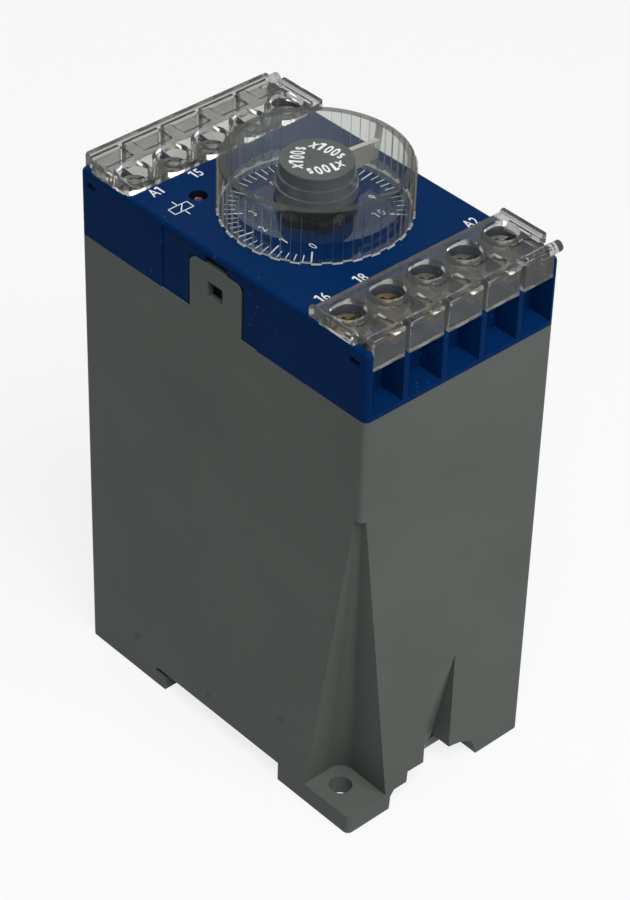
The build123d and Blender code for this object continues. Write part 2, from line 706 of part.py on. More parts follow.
# Terminals
def terminal_screw(x, y):
    head = rod_z(SCREW_HEAD / 2, x, y, SCREW_HEAD_UNDER, SCREW_HEAD_TOP)
    head = fillet(head.edges().group_by(Axis.Z)[-1], SCREW_HEAD_EDGE)
    shank = rod_z(SCREW_SHANK / 2, x, y, SCREW_HEAD_UNDER - SCREW_LENGTH, SCREW_HEAD_UNDER + JOIN)
    slot_z = SCREW_HEAD_TOP - SCREW_SLOT_DEPTH
    half = SCREW_SLOT / 2
    slot = block(x - SCREW_HEAD, x + SCREW_HEAD, y - half, y + half, slot_z, SCREW_HEAD_TOP + CUT)
    arm = SCREW_CROSS / 2
    cross = block(x - half, x + half, y - arm, y + arm, slot_z, SCREW_HEAD_TOP + CUT)
    return head + shank - slot - cross


def clamp_plate(x, y):
    """Square plate under the screw head, ribbed below, that presses the wire on the strip."""
    half = CLAMP_WIDTH / 2
    plate = block(x - half, x + half, y - CLAMP_LENGTH / 2, y + CLAMP_LENGTH / 2, CLAMP_UNDER, CLAMP_TOP)
    for side in (-1, 1):
        groove_y = y + side * CLAMP_LENGTH / 3
        plate = plate - block(
            x - CLAMP_WIDTH, x + CLAMP_WIDTH, groove_y - CLAMP_RIB / 2, groove_y + CLAMP_RIB / 2,
            CLAMP_UNDER - CUT, CLAMP_UNDER + CLAMP_RIB / 2,
        )
    return plate - rod_z(SCREW_SHANK / 2 + SCREW_PLAY, x, y, CLAMP_UNDER - CUT, CLAMP_TOP + CUT)


def contact_strip(x, end):
    half = STRIP_WIDTH / 2
    front = end * CELL_LIP_Y
    leg = end * STRIP_LEG_Y
    leg_half = STRIP_LEG_WIDTH / 2
    flat = block(x - half, x + half, min(front, leg), max(front, leg), STRIP_UNDER, STRIP_TOP)
    down = block(
        x - leg_half, x + leg_half, min(leg, leg + end * STRIP), max(leg, leg + end * STRIP),
        BOARD_UNDER - STRIP_TAIL, STRIP_TOP,
    )
    hole = rod_z(SCREW_SHANK / 2 + SCREW_PLAY, x, end * TERMINAL_Y, STRIP_UNDER - CUT, STRIP_TOP + CUT)
    return flat + down - hole


# Dial
def dial():
    knob = rod_z(DIAL_RADIUS, 0, 0, DIAL_BOTTOM, DIAL_TOP)
    teeth = None
    for index in range(DIAL_TEETH):
        angle = index * 360 / DIAL_TEETH
        width = pi * DIAL_RADIUS / DIAL_TEETH
        tooth = block(
            DIAL_RADIUS - JOIN, DIAL_RADIUS + DIAL_TOOTH, -width / 2, width / 2,
            DIAL_BOTTOM, DIAL_TOP - DIAL_TOOTH_END,
        )
        tooth = Rot(0, 0, angle) * tooth
        teeth = tooth if teeth is None else teeth + tooth
    knob = knob + teeth
    inner = DIAL_RADIUS - DIAL_WALL
    upper = Pos(0, 0, DIAL_FLOOR_TOP) * Cone(
        inner - DIAL_DRAFT, inner, DIAL_TOP - DIAL_FLOOR_TOP, align=(Align.CENTER, Align.CENTER, Align.MIN)
    )
    lower = rod_z(inner, 0, 0, DIAL_BOTTOM - CUT, DIAL_FLOOR_UNDER)
    knob = knob - upper - lower
    # Stepped hub that carries the cap
    for step in range(HUB_STEPS):
        radius = HUB_RADIUS - step * HUB_STEP
        rise = (CAP_UNDER + CAP_SINK - DIAL_FLOOR_TOP) * (step + 1) / HUB_STEPS
        knob = knob + rod_z(radius, 0, 0, DIAL_FLOOR_TOP - FIN_DROP, DIAL_FLOOR_TOP + rise)
    # Pointer fin from the hub to the wall, falling outwards
    start = HUB_RADIUS - FIN_LAP[0]
    reach = inner - FIN_LAP[1]
    fin_foot = DIAL_FLOOR_TOP - FIN_DROP
    profile = Polyline(
        (start, 0, fin_foot), (reach, 0, fin_foot), (reach, 0, CAP_UNDER - FIN_FALL),
        (start, 0, CAP_UNDER - FIN_DROP), close=True,
    )
    fin = extrude(make_face(Wire(profile.edges())), amount=FIN_WIDTH / 2, dir=(0, 1, 0), both=True)
    knob = knob + Rot(0, 0, FIN_ANGLE) * fin
    # Seat of the cap and bore for the shaft
    knob = knob - rod_z(CAP_RADIUS - CAP_SEAT, 0, 0, CAP_UNDER, CAP_TOP + CUT)
    knob = knob - rod_z(SHAFT / 2, 0, 0, DIAL_BOTTOM - CUT, CAP_UNDER - SHAFT_END)
    return knob


def dial_cap():
    disc = rod_z(CAP_RADIUS - CAP_SEAT, 0, 0, CAP_UNDER, CAP_TOP - CAP_EDGE)
    disc = disc + rod_z(CAP_RADIUS, 0, 0, CAP_UNDER + CAP_SINK, CAP_TOP)
    return fillet(disc.edges().group_by(Axis.Z)[-1], CAP_EDGE)


# Potentiometer
def pot_shaft():
    return rod_z(SHAFT / 2, 0, 0, PLATE_UNDER - POT_DEPTH + SHAFT_FLOOR, CAP_UNDER - SHAFT_END)


def pot_body():
    z0 = PLATE_UNDER - POT_DEPTH
    body = rod_z(POT_BODY / 2, 0, 0, z0, PLATE_UNDER)
    half = POT_LEG_SPREAD + POT_TONGUE[0]
    body = body + block(-half, half, -POT_BODY / 2 - POT_TONGUE[1], 0, z0, z0 + POT_TONGUE[2])
    body = body + rod_z(NECK / 2, 0, 0, PLATE_UNDER - JOIN, FRONT + NECK_HEIGHT)
    body = body - rod_z(SHAFT / 2 + SHAFT_PLAY, 0, 0, z0 + POT_FLOOR, FRONT + NECK_HEIGHT + CUT)
    for index in (-1, 0, 1):
        x = index * POT_LEG_SPREAD
        leg = block(
            x - POT_LEG / 2, x + POT_LEG / 2, POT_LEG_Y - POT_LEG_PLACE[1], POT_LEG_Y,
            BOARD_UNDER - SOLDER_TAIL, z0 + JOIN,
        )
        body = body + leg
    return body


def pot_nut():
    nut = extrude(
        Plane.XY.offset(FRONT) * RegularPolygon(NUT / 2, 6, major_radius=False), amount=NUT_THICKNESS
    )
    return nut - rod_z(NECK / 2, 0, 0, FRONT - CUT, FRONT + NUT_THICKNESS + CUT)


# Indicator lamp
def lamp_lens():
    x, y = LAMP_PLACE
    top = FRONT - LAMP_SINK
    body = rod_z(LAMP / 2, x, y, top - LAMP_BODY, top - LAMP / 2)
    dome = Pos(x, y, top - LAMP / 2) * Sphere(LAMP / 2)
    flange = rod_z(LAMP / 2 + LAMP_FLANGE[0], x, y, top - LAMP_BODY, top - LAMP_BODY + LAMP_FLANGE[1])
    return body + dome + flange


def lamp_legs():
    x, y = LAMP_PLACE
    top = FRONT - LAMP_SINK - LAMP_BODY
    group = []
    for side in (-1, 1):
        leg = block(
            x + side * LAMP_LEG_SPREAD / 2 - LAMP_LEG / 2, x + side * LAMP_LEG_SPREAD / 2 + LAMP_LEG / 2,
            y - LAMP_LEG / 2, y + LAMP_LEG / 2, BOARD_UNDER - SOLDER_TAIL, top,
        )
        group.append(leg)
    return Compound(children=group)


# Boards
def front_board():
    half_x = HALF_W - CASE_WALL - FRONT_BOARD_GAP[0]
    half_y = HALF_L - CASE_WALL - FRONT_BOARD_GAP[1]
    board = block(-half_x, half_x, -half_y, half_y, BOARD_UNDER, BOARD_TOP)
    for end in (-1, 1):
        for index in range(TERMINALS):
            x = terminal_x(index)
            half = STRIP_LEG_WIDTH / 2
            y0 = min(end * STRIP_LEG_Y, end * (STRIP_LEG_Y + STRIP))
            board = board - block(x - half, x + half, y0, y0 + STRIP, BOARD_UNDER - CUT, BOARD_TOP + CUT)
    for index in (-1, 0, 1):
        x = index * POT_LEG_SPREAD
        board = board - block(
            x - POT_LEG / 2, x + POT_LEG / 2, POT_LEG_Y - POT_LEG_PLACE[1], POT_LEG_Y,
            BOARD_UNDER - CUT, BOARD_TOP + CUT,
        )
    x, y = LAMP_PLACE
    for side in (-1, 1):
        lx = x + side * LAMP_LEG_SPREAD / 2
        board = board - block(
            lx - LAMP_LEG / 2, lx + LAMP_LEG / 2, y - LAMP_LEG / 2, y + LAMP_LEG / 2,
            BOARD_UNDER - CUT, BOARD_TOP + CUT,
        )
    for y in link_places():
        board = board - block(
            link_x() - LINK_PIN / 2, link_x() + LINK_PIN / 2, y - LINK_PIN / 2, y + LINK_PIN / 2,
            BOARD_UNDER - CUT, BOARD_TOP + CUT,
        )
    return board


def link_x():
    return BOARD_FACE + LINK_PIN / 2 + LINK_STAND


def link_places():
    return [(index - (LINK_PINS - 1) / 2) * LINK_PITCH + LINK_MIDDLE for index in range(LINK_PINS)]


def link_header():
    """Right-angle pins between the two boards: each pin lies on the side board's face."""
    half = LINK_PITCH * LINK_PINS / 2
    z1 = BOARD_UNDER - LINK_PLAY
    holder = block(
        BOARD_FACE, link_x() + LINK_STAND, LINK_MIDDLE - half, LINK_MIDDLE + half, z1 - LINK_HOLDER, z1
    )
    for y in link_places():
        pin = block(
            link_x() - LINK_PIN / 2, link_x() + LINK_PIN / 2, y - LINK_PIN / 2, y + LINK_PIN / 2,
            z1 - CUT, BOARD_TOP + SOLDER_TAIL,
        )
        holder = holder + pin
    return holder


def side_board():
    y0 = -HALF_L + SIDE_BOARD_INSET[0]
    y1 = HALF_L - SIDE_BOARD_INSET[1]
    return block(SIDE_BOARD_X, BOARD_FACE, y0, y1, INSIDE_FLOOR, BOARD_UNDER - BOARD_GAP)


# Transformer
CORE_X0 = BOARD_FACE + TRANSFORMER_FOOT
CORE_Z0 = INSIDE_FLOOR + CORE_PLACE[1]


def transformer_core():
    cx = CORE_PLACE[0]
    y0 = cx - CORE[1] / 2
    y1 = cx + CORE[1] / 2
    z1 = CORE_Z0 + CORE[2]
    leg_half = CORE_LEG / 2
    depth0 = CORE_X0 + WINDING_BULGE
    depth1 = depth0 + CORE[0] - 2 * WINDING_BULGE
    stack = block(depth0, depth1, y0, y1, CORE_Z0, z1)
    for side in (-1, 1):
        a = cx + side * leg_half
        b = cx + side * (CORE[1] / 2 - CORE_YOKE)
        stack = stack - block(
            depth0 - CUT, depth1 + CUT, min(a, b), max(a, b), CORE_Z0 + CORE_YOKE, z1 - CORE_YOKE
        )
    return stack


def transformer_winding():
    cx = CORE_PLACE[0]
    leg_half = CORE_LEG / 2 + WINDING_PLAY
    out = CORE[1] / 2 - CORE_YOKE - WINDING_PLAY
    z0 = CORE_Z0 + CORE_YOKE + WINDING_PLAY
    z1 = CORE_Z0 + CORE[2] - CORE_YOKE - WINDING_PLAY
    depth0 = CORE_X0
    depth1 = CORE_X0 + CORE[0]
    sink_x, sink_y = WINDING_SINK
    ring = block(depth0 + sink_x, depth1 - sink_x, cx - out + sink_y, cx + out - sink_y, z0, z1)
    flange_low = block(depth0, depth1, cx - out, cx + out, z0, z0 + BOBBIN_WALL)
    flange_high = block(depth0, depth1, cx - out, cx + out, z1 - BOBBIN_WALL, z1)
    hole = block(
        depth0 + WINDING_BULGE - WINDING_PLAY, depth1 - WINDING_BULGE + WINDING_PLAY,
        cx - leg_half, cx + leg_half, z0 - CUT, z1 + CUT,
    )
    body = ring + flange_low + flange_high - hole
    foot = block(BOARD_FACE, depth0 + JOIN, cx - out, cx + out, z0, z0 + WINDING_FOOT)
    return body + foot + Pos(0, 0, z1 - z0 - WINDING_FOOT) * foot


# Switching relay: coil along Y, yoke over it, armature at its far end
RELAY_Y0 = RELAY_PLACE[0]
RELAY_Z = RELAY_PLACE[1] + RELAY_BASE[2] / 2
BASE_TOP = BOARD_FACE + RELAY_BASE[0]
COIL_X = BASE_TOP + COIL_LIFT + FLANGE_RADIUS
YOKE_X = COIL_X + FLANGE_RADIUS + COIL_PLAY
COIL_Y0 = RELAY_Y0 + YOKE + COIL_PLAY
COIL_Y1 = COIL_Y0 + COIL_LENGTH
POLE_Y = COIL_Y1 + COIL_PLAY
PIVOT_Y = POLE_Y + HINGE_PLAY


def relay_base():
    base = block(
        BOARD_FACE, BASE_TOP, RELAY_Y0 - RELAY_BASE_EDGE, RELAY_Y0 - RELAY_BASE_EDGE + RELAY_BASE[1],
        RELAY_Z - RELAY_BASE[2] / 2, RELAY_Z + RELAY_BASE[2] / 2,
    )
    return base


def relay_yoke():
    half = YOKE_WIDTH / 2
    back = block(BASE_TOP, YOKE_X + YOKE, RELAY_Y0, RELAY_Y0 + YOKE, RELAY_Z - half, RELAY_Z + half)
    arm = block(YOKE_X, YOKE_X + YOKE, RELAY_Y0, POLE_Y, RELAY_Z - half, RELAY_Z + half)
    pole = rod_y(CORE_ROD / 2, COIL_X, RELAY_Y0 + YOKE - JOIN, POLE_Y, RELAY_Z)
    return back + arm + pole


def relay_coil():
    coil = rod_y(COIL_RADIUS, COIL_X, COIL_Y0, COIL_Y1, RELAY_Z)
    for y in (COIL_Y0, COIL_Y1 - FLANGE):
        coil = coil + rod_y(FLANGE_RADIUS, COIL_X, y, y + FLANGE, RELAY_Z)
    foot = block(
        BASE_TOP, COIL_X - FLANGE_RADIUS + COIL_FOOT[1], COIL_Y0, COIL_Y0 + FLANGE,
        RELAY_Z - COIL_FOOT[0], RELAY_Z + COIL_FOOT[0],
    )
    coil = coil + foot + Pos(0, COIL_LENGTH - FLANGE, 0) * foot
    return coil - rod_y(CORE_ROD / 2 + CORE_ROD_PLAY, COIL_X, COIL_Y0 - CUT, COIL_Y1 + CUT, RELAY_Z)


def relay_armature():
    """Flat plate on the end of the yoke, open by its angle about the yoke's outer edge."""
    half = YOKE_WIDTH / 2
    length = YOKE_X + YOKE - (COIL_X - CORE_ROD / 2 - ARMATURE_REACH)
    plate = block(
        YOKE_X + YOKE - length, YOKE_X + YOKE, PIVOT_Y, PIVOT_Y + ARMATURE, RELAY_Z - half, RELAY_Z + half
    )
    return swung(plate)


def swung(shape):
    """Turns a shape open about the edge where the armature meets the yoke."""
    edge = Axis((YOKE_X + YOKE, PIVOT_Y, RELAY_Z), (0, 0, 1))
    return shape.rotate(edge, -ARMATURE_ANGLE)


BLADE_END_X = BASE_TOP + BLADE_LIFT
BLADE_Y = PIVOT_Y + ARMATURE


def relay_blade():
    """Moving contact: a flat spring riveted to the armature, with a contact on both faces."""
    x_start = YOKE_X - BLADE_LAP
    strip = block(
        BLADE_END_X, x_start, BLADE_Y, BLADE_Y + BLADE, RELAY_Z - BLADE_WIDTH / 2, RELAY_Z + BLADE_WIDTH / 2
    )
    tip = rod_y(
        CONTACT_RADIUS, BLADE_END_X + CONTACT_RADIUS, BLADE_Y - CONTACT_HEIGHT,
        BLADE_Y + BLADE + CONTACT_HEIGHT, RELAY_Z,
    )
    return swung(strip + tip)


def relay_contacts():
    """Two fixed contacts, one each side of the moving one, on posts in the base."""
    tip = Vector(BLADE_END_X + CONTACT_RADIUS - (YOKE_X + YOKE), BLADE_Y + BLADE / 2 - PIVOT_Y, 0)
    angle = radians(-ARMATURE_ANGLE)
    tip_y = PIVOT_Y + tip.X * sin(angle) + tip.Y * cos(angle)
    tip_x = YOKE_X + YOKE + tip.X * cos(angle) - tip.Y * sin(angle)
    reach = BLADE / 2 + CONTACT_HEIGHT
    group = []
    for side, gap in ((-1, CONTACT_GAP), (1, CONTACT_PLAY)):
        face_y = tip_y + side * (reach + gap)
        back_y = face_y + side * CONTACT_POST
        post = block(
            BASE_TOP, tip_x + CONTACT_RADIUS, min(face_y, back_y), max(face_y, back_y),
            RELAY_Z - BLADE_WIDTH / 2, RELAY_Z + BLADE_WIDTH / 2,
        )
        group.append(post)
    return Compound(children=group)


# Small parts
def smoothing_capacitor():
    y, z = CAPACITOR_PLACE
    radius = CAPACITOR[0] / 2
    can = rod_x(radius, BOARD_FACE, BOARD_FACE + CAPACITOR[1], y, z)
    return fillet(can.edges().group_by(Axis.X)[-1], CAPACITOR_EDGE)


def timing_capacitor():
    y, z = BOX_CAPACITOR_PLACE
    return block(
        BOARD_FACE, BOARD_FACE + BOX_CAPACITOR[2], y - BOX_CAPACITOR[1] / 2, y + BOX_CAPACITOR[1] / 2,
        z - BOX_CAPACITOR[0] / 2, z + BOX_CAPACITOR[0] / 2,
    )


def timer_chip():
    y, z = CHIP_PLACE
    x0 = BOARD_FACE + CHIP_STAND
    body = block(x0, x0 + CHIP[0], y - CHIP[1] / 2, y + CHIP[1] / 2, z - CHIP[2] / 2, z + CHIP[2] / 2)
    for index in range(CHIP_LEGS):
        leg_y = y + (index - (CHIP_LEGS - 1) / 2) * CHIP_LEG[1]
        for side in (-1, 1):
            z0 = z + side * CHIP[2] / 2
            z1 = z0 + side * CHIP_LEG[2]
            leg = block(
                BOARD_FACE, x0 + CHIP[0] / 2, leg_y - CHIP_LEG[0] / 2, leg_y + CHIP_LEG[0] / 2,
                min(z0, z1), max(z0, z1),
            )
            body = body + leg
    return body


def axial_part(radius, length, y, z):
    """Body lying along Z on two bent leads that stand on the board."""
    x = BOARD_FACE + radius + LEAD_LIFT
    body = Pos(x, y, z) * Cylinder(radius, length)
    span = length / 2 + LEAD_REACH
    lead = Pos(x, y, z) * Cylinder(LEAD / 2, 2 * span)
    for side in (-1, 1):
        lead = lead + rod_x(LEAD / 2, BOARD_FACE, x + LEAD / 2, y, z + side * span)
    return body + lead


def row_of_parts(size, count, place, pitch):
    y, z = place
    return Compound(children=[
        whole(axial_part(size[0] / 2, size[1], y + index * pitch, z)) for index in range(count)
    ])


def drive_transistor():
    y, z = TRANSISTOR_PLACE
    radius, height = TRANSISTOR
    x0 = BOARD_FACE + TRANSISTOR_STAND
    body = rod_x(radius, x0, x0 + height, y, z)
    body = body - block(
        x0 - CUT, x0 + height + CUT, y - radius, y + radius, z + TRANSISTOR_FLAT, z + radius + CUT
    )
    pitch, width = TRANSISTOR_LEGS
    for index in (-1, 0, 1):
        leg_y = y + index * pitch
        body = body + block(
            BOARD_FACE, x0 + JOIN, leg_y - width / 2, leg_y + width / 2, z - width / 2, z + width / 2
        )
    return body


save("case", case())
save("rail_catch", rail_catch())
save("catch_spring", catch_spring())
save("front_cover", front_cover())
save("terminal_cover_lower", terminal_lid(True))
save("terminal_cover_upper", terminal_lid(False).mirror(Plane.XZ))
for row, end in (("lower", -1), ("upper", 1)):
    for index in range(TERMINALS):
        x = terminal_x(index)
        save("terminal_screw_%s_%d" % (row, index + 1), terminal_screw(x, end * TERMINAL_Y))
        save("clamp_plate_%s_%d" % (row, index + 1), clamp_plate(x, end * TERMINAL_Y))
    strips = [whole(contact_strip(terminal_x(index), end)) for index in range(TERMINALS)]
    save("contact_strips_" + row, Compound(children=strips))
save("dial_knob", dial())
save("dial_cap", dial_cap())
save("potentiometer_shaft", pot_shaft())
save("potentiometer_body", pot_body())
save("potentiometer_nut", pot_nut())
save("indicator_lamp", lamp_lens())
save("lamp_legs", lamp_legs())
save("front_board", front_board())
save("side_board", side_board())
save("board_link", link_header())
save("transformer_core", transformer_core())
save("transformer_winding", transformer_winding())
save("relay_base", relay_base())
save("relay_yoke", relay_yoke())
save("relay_coil", relay_coil())
save("relay_armature", relay_armature())
save("relay_contact_blade", relay_blade())
save("relay_fixed_contacts", relay_contacts())
save("smoothing_capacitor", smoothing_capacitor())
save("timing_capacitor", timing_capacitor())
save("timer_chip", timer_chip())
save("resistors", row_of_parts(RESISTOR, RESISTORS, RESISTOR_PLACE, RESISTOR_PITCH))
save("rectifier_diodes", row_of_parts(DIODE, DIODES, DIODE_PLACE, RESISTOR_PITCH))
save("drive_transistor", drive_transistor())
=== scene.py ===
import bpy
import math
from mathutils import Matrix, Vector


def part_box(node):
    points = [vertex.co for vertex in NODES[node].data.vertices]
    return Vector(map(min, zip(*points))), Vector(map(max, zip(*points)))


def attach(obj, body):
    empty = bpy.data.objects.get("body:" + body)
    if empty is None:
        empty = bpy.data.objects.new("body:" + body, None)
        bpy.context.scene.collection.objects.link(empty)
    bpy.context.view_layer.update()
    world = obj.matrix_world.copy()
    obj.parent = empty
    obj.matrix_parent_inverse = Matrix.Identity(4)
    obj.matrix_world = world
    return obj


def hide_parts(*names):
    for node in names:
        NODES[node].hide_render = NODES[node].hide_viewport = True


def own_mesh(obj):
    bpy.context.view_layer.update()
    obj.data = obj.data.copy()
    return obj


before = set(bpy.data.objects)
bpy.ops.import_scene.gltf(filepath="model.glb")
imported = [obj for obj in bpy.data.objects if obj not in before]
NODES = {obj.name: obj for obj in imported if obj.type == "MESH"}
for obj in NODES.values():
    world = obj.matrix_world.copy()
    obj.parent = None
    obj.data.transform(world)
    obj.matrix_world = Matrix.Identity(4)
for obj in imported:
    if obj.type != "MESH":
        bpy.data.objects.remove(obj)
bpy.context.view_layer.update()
MM = 0.001

# Places on the housing, in metres
PLATE_TOP = 0.110
PLATE_SKIN = 0.15 * MM
CAP_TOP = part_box("dial_cap")[1].z
CASE_SIDE = 0.0225
CASE_SKIN = 0.3 * MM
COVER_WALL = 3 * MM
TONGUE_MIDDLE, TONGUE_HALF, TONGUE_END = 0.75 * MM, 6.65 * MM, 107.0 * MM
# Half width of the band of painted shade along the tongue's edges
GAP_SHADE_HALF = 0.62 * MM
# How far below the tongue's end the painted shade in its window begins
NOSE_DROP = 2 * MM
LAMP_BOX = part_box("indicator_lamp")
LAMP_SPOT = ((LAMP_BOX[0].x + LAMP_BOX[1].x) / 2, (LAMP_BOX[0].y + LAMP_BOX[1].y) / 2)
LAMP_HOLE = 2.2 * MM

# Ink lies just above the faces it is printed on
INK = 0.03 * MM
PLATE_INK = PLATE_TOP + INK
CAP_INK = CAP_TOP + INK

# Stains on the left wall: y, z and radius in mm, and how uneven their edges are in metres
STAINS = ((23.2, 8.5, 0.9), (2.2, 7.5, 0.7), (-18.3, 15.8, 0.9))
STAIN_WOBBLE = 0.0012

# Where the tones of the clear dial change: radii, heights and the pointer fin, in metres
SKIRT_RADIUS = 0.01685
WALL_RADIUS = 0.0145
FLOOR_RADIUS = 0.0160
HUB_RADIUS = 0.0076
FOOT_BELOW = 0.11078
UNDERSIDE_BELOW = 0.1110
FLOOR_BELOW = 0.1150
HUB_ABOVE = 0.1146
RIM_ABOVE = 0.1205
FIN_TURN = math.radians(3.0)
FIN_HALF = 0.00085
FIN_START, FIN_END = 0.0074, 0.0158

# Share of a normal along Z on a level face and on a flat one, and along the radius on a round wall
LEVEL, FLAT, ROUND = 0.5, 0.9, 0.6

OFF, ON = (0, 0, 0), (1, 1, 1)
# Dark tone of the stains and of the painted shade
STAIN_AND_SHADE_TONE = (0.004, 0.004, 0.004)


# Steps of a material
def new_material(name):
    m = bpy.data.materials.new(name)
    m.use_nodes = True
    nt = m.node_tree
    nt.nodes.clear()
    out = nt.nodes.new("ShaderNodeOutputMaterial")
    return m, nt, out


def feed(nt, value, socket):
    """Give a socket a plain number, a plain colour or the output of another node."""
    if isinstance(value, tuple):
        socket.default_value = (*value, 1)
    elif isinstance(value, (int, float)):
        socket.default_value = value
    else:
        nt.links.new(value, socket)


def sums(nt, operation, a, b=None):
    """One step of arithmetic; a and b are sockets or plain numbers."""
    m = nt.nodes.new("ShaderNodeMath")
    m.operation = operation
    feed(nt, a, m.inputs[0])
    if b is not None:
        feed(nt, b, m.inputs[1])
    return m.outputs[0]


def product(nt, *values):
    total = values[0]
    for value in values[1:]:
        total = sums(nt, "MULTIPLY", total, value)
    return total


def above(nt, value, limit):
    """1 where value is more than limit, else 0."""
    return sums(nt, "GREATER_THAN", value, limit)


def below(nt, value, limit):
    """1 where value is less than limit, else 0."""
    return sums(nt, "LESS_THAN", value, limit)


def length(nt, a, b):
    """Length of the line from the origin to (a, b)."""
    return sums(nt, "SQRT", sums(nt, "ADD", product(nt, a, a), product(nt, b, b)))


def split(nt, output):
    """The x, y and z of a place on a piece, output "Object", or of its normal, output "Normal"."""
    tc = nt.nodes.new("ShaderNodeTexCoord")
    parts = nt.nodes.new("ShaderNodeSeparateXYZ")
    nt.links.new(tc.outputs[output], parts.inputs[0])
    return parts.outputs


def noise(nt, scale, detail=2.0):
    tc = nt.nodes.new("ShaderNodeTexCoord")
    n = nt.nodes.new("ShaderNodeTexNoise")
    n.inputs["Scale"].default_value = scale
    n.inputs["Detail"].default_value = detail
    nt.links.new(tc.outputs["Object"], n.inputs["Vector"])
    return n.outputs["Fac"]


def ramp(nt, value, stops):
    r = nt.nodes.new("ShaderNodeValToRGB")
    el = r.color_ramp.elements
    while len(el) < len(stops):
        el.new(0.5)
    for e, (pos, col) in zip(el, stops):
        e.position = pos
        e.color = (*col, 1)
    nt.links.new(value, r.inputs["Fac"])
    return r.outputs["Color"]


def mix_color(nt, factor, a, b):
    m = nt.nodes.new("ShaderNodeMix")
    m.data_type = "RGBA"
    nt.links.new(factor, m.inputs[0])
    feed(nt, a, m.inputs[6])
    feed(nt, b, m.inputs[7])
    return m.outputs[2]


def bump(nt, height, strength, distance):
    b = nt.nodes.new("ShaderNodeBump")
    b.inputs["Strength"].default_value = strength
    b.inputs["Distance"].default_value = distance
    nt.links.new(height, b.inputs["Height"])
    return b.outputs["Normal"]


def principled(nt, color, rough, metallic=0.0, **extra):
    b = nt.nodes.new("ShaderNodeBsdfPrincipled")
    b.inputs["Base Color"].default_value = (*color, 1)
    b.inputs["Roughness"].default_value = rough
    b.inputs["Metallic"].default_value = metallic
    for key, value in extra.items():
        b.inputs[key.replace("_", " ")].default_value = value
    return b


def mix_shader(nt, share, a, b):
    """Shader a with a share of it, 0 to 1, replaced by shader b."""
    m = nt.nodes.new("ShaderNodeMixShader")
    feed(nt, share, m.inputs[0])
    nt.links.new(a.outputs[0], m.inputs[1])
    nt.links.new(b.outputs[0], m.inputs[2])
    return m


def scaled(color, share):
    return tuple(c * share for c in color)


# Opaque materials
def moulded(name, color, rough, dust, dust_color, sheen=0.15):
    """Moulded plastic: a slight change of tone, fine grain and sparse specks."""
    m, nt, out = new_material(name)
    b = principled(nt, color, rough, Specular_IOR_Level=sheen)
    base = ramp(nt, noise(nt, 35, 3.0), [(0.35, scaled(color, 0.9)), (0.65, color)])
    specks = ramp(nt, noise(nt, 1300, 1.0), [(0.70, OFF), (0.76, ON)])
    patches = ramp(nt, noise(nt, 60), [(0.50, OFF), (0.66, ON)])
    amount = product(nt, specks, patches, dust)
    nt.links.new(mix_color(nt, amount, base, dust_color), b.inputs["Base Color"])
    nt.links.new(bump(nt, noise(nt, 3600), 0.25, 0.00006), b.inputs["Normal"])
    nt.links.new(b.outputs[0], out.inputs["Surface"])
    return m


def plain(name, color, rough, grain=0.0, **extra):
    m, nt, out = new_material(name)
    b = principled(nt, color, rough, **extra)
    if grain:
        nt.links.new(bump(nt, noise(nt, 2500), grain, 0.00005), b.inputs["Normal"])
    tone = ramp(nt, noise(nt, 200), [(0.3, scaled(color, 0.85)), (0.7, color)])
    nt.links.new(tone, b.inputs["Base Color"])
    nt.links.new(b.outputs[0], out.inputs["Surface"])
    return m


def turned_metal(name, color, rough):
    m, nt, out = new_material(name)
    b = principled(nt, color, rough, 1.0)
    spots = noise(nt, 900, 3.0)
    tone = ramp(nt, spots, [(0.35, scaled(color, 0.55)), (0.65, color)])
    dull = ramp(nt, spots, [(0.3, (rough + 0.15,) * 3), (0.7, (rough,) * 3)])
    nt.links.new(tone, b.inputs["Base Color"])
    nt.links.new(dull, b.inputs["Roughness"])
    nt.links.new(bump(nt, noise(nt, 1500), 0.3, 0.00008), b.inputs["Normal"])
    nt.links.new(b.outputs[0], out.inputs["Surface"])
    return m


def board(name):
    m, nt, out = new_material(name)
    b = principled(nt, (0.03, 0.14, 0.05), 0.4)
    weave = ramp(nt, noise(nt, 500), [(0.4, (0.02, 0.10, 0.035)), (0.6, (0.035, 0.16, 0.06))])
    nt.links.new(weave, b.inputs["Base Color"])
    nt.links.new(b.outputs[0], out.inputs["Surface"])
    return m


def darken(m, mask, share):
    """Lower the base colour of a finished material to a share of it where mask, a socket, is 1."""
    nt = m.node_tree
    b = next(n for n in nt.nodes if n.type == "BSDF_PRINCIPLED")
    link = b.inputs["Base Color"].links[0]
    tone = mix_color(nt, sums(nt, "MULTIPLY", mask, 1 - share), link.from_socket, STAIN_AND_SHADE_TONE)
    nt.links.new(tone, b.inputs["Base Color"])


def stain_case(m):
    """Faint round marks low on the left wall."""
    nt = m.node_tree
    x, y, z = split(nt, "Object")
    wobble = sums(nt, "MULTIPLY", noise(nt, 900, 3.0), STAIN_WOBBLE)
    total = 0.0
    for spot_y, spot_z, size in STAINS:
        far = length(nt, sums(nt, "SUBTRACT", y, spot_y * MM), sums(nt, "SUBTRACT", z, spot_z * MM))
        near = below(nt, sums(nt, "ADD", far, wobble), size * MM + STAIN_WOBBLE / 2)
        total = sums(nt, "MAXIMUM", total, near)
    darken(m, product(nt, total, below(nt, x, -CASE_SIDE + CASE_SKIN)), 0.72)


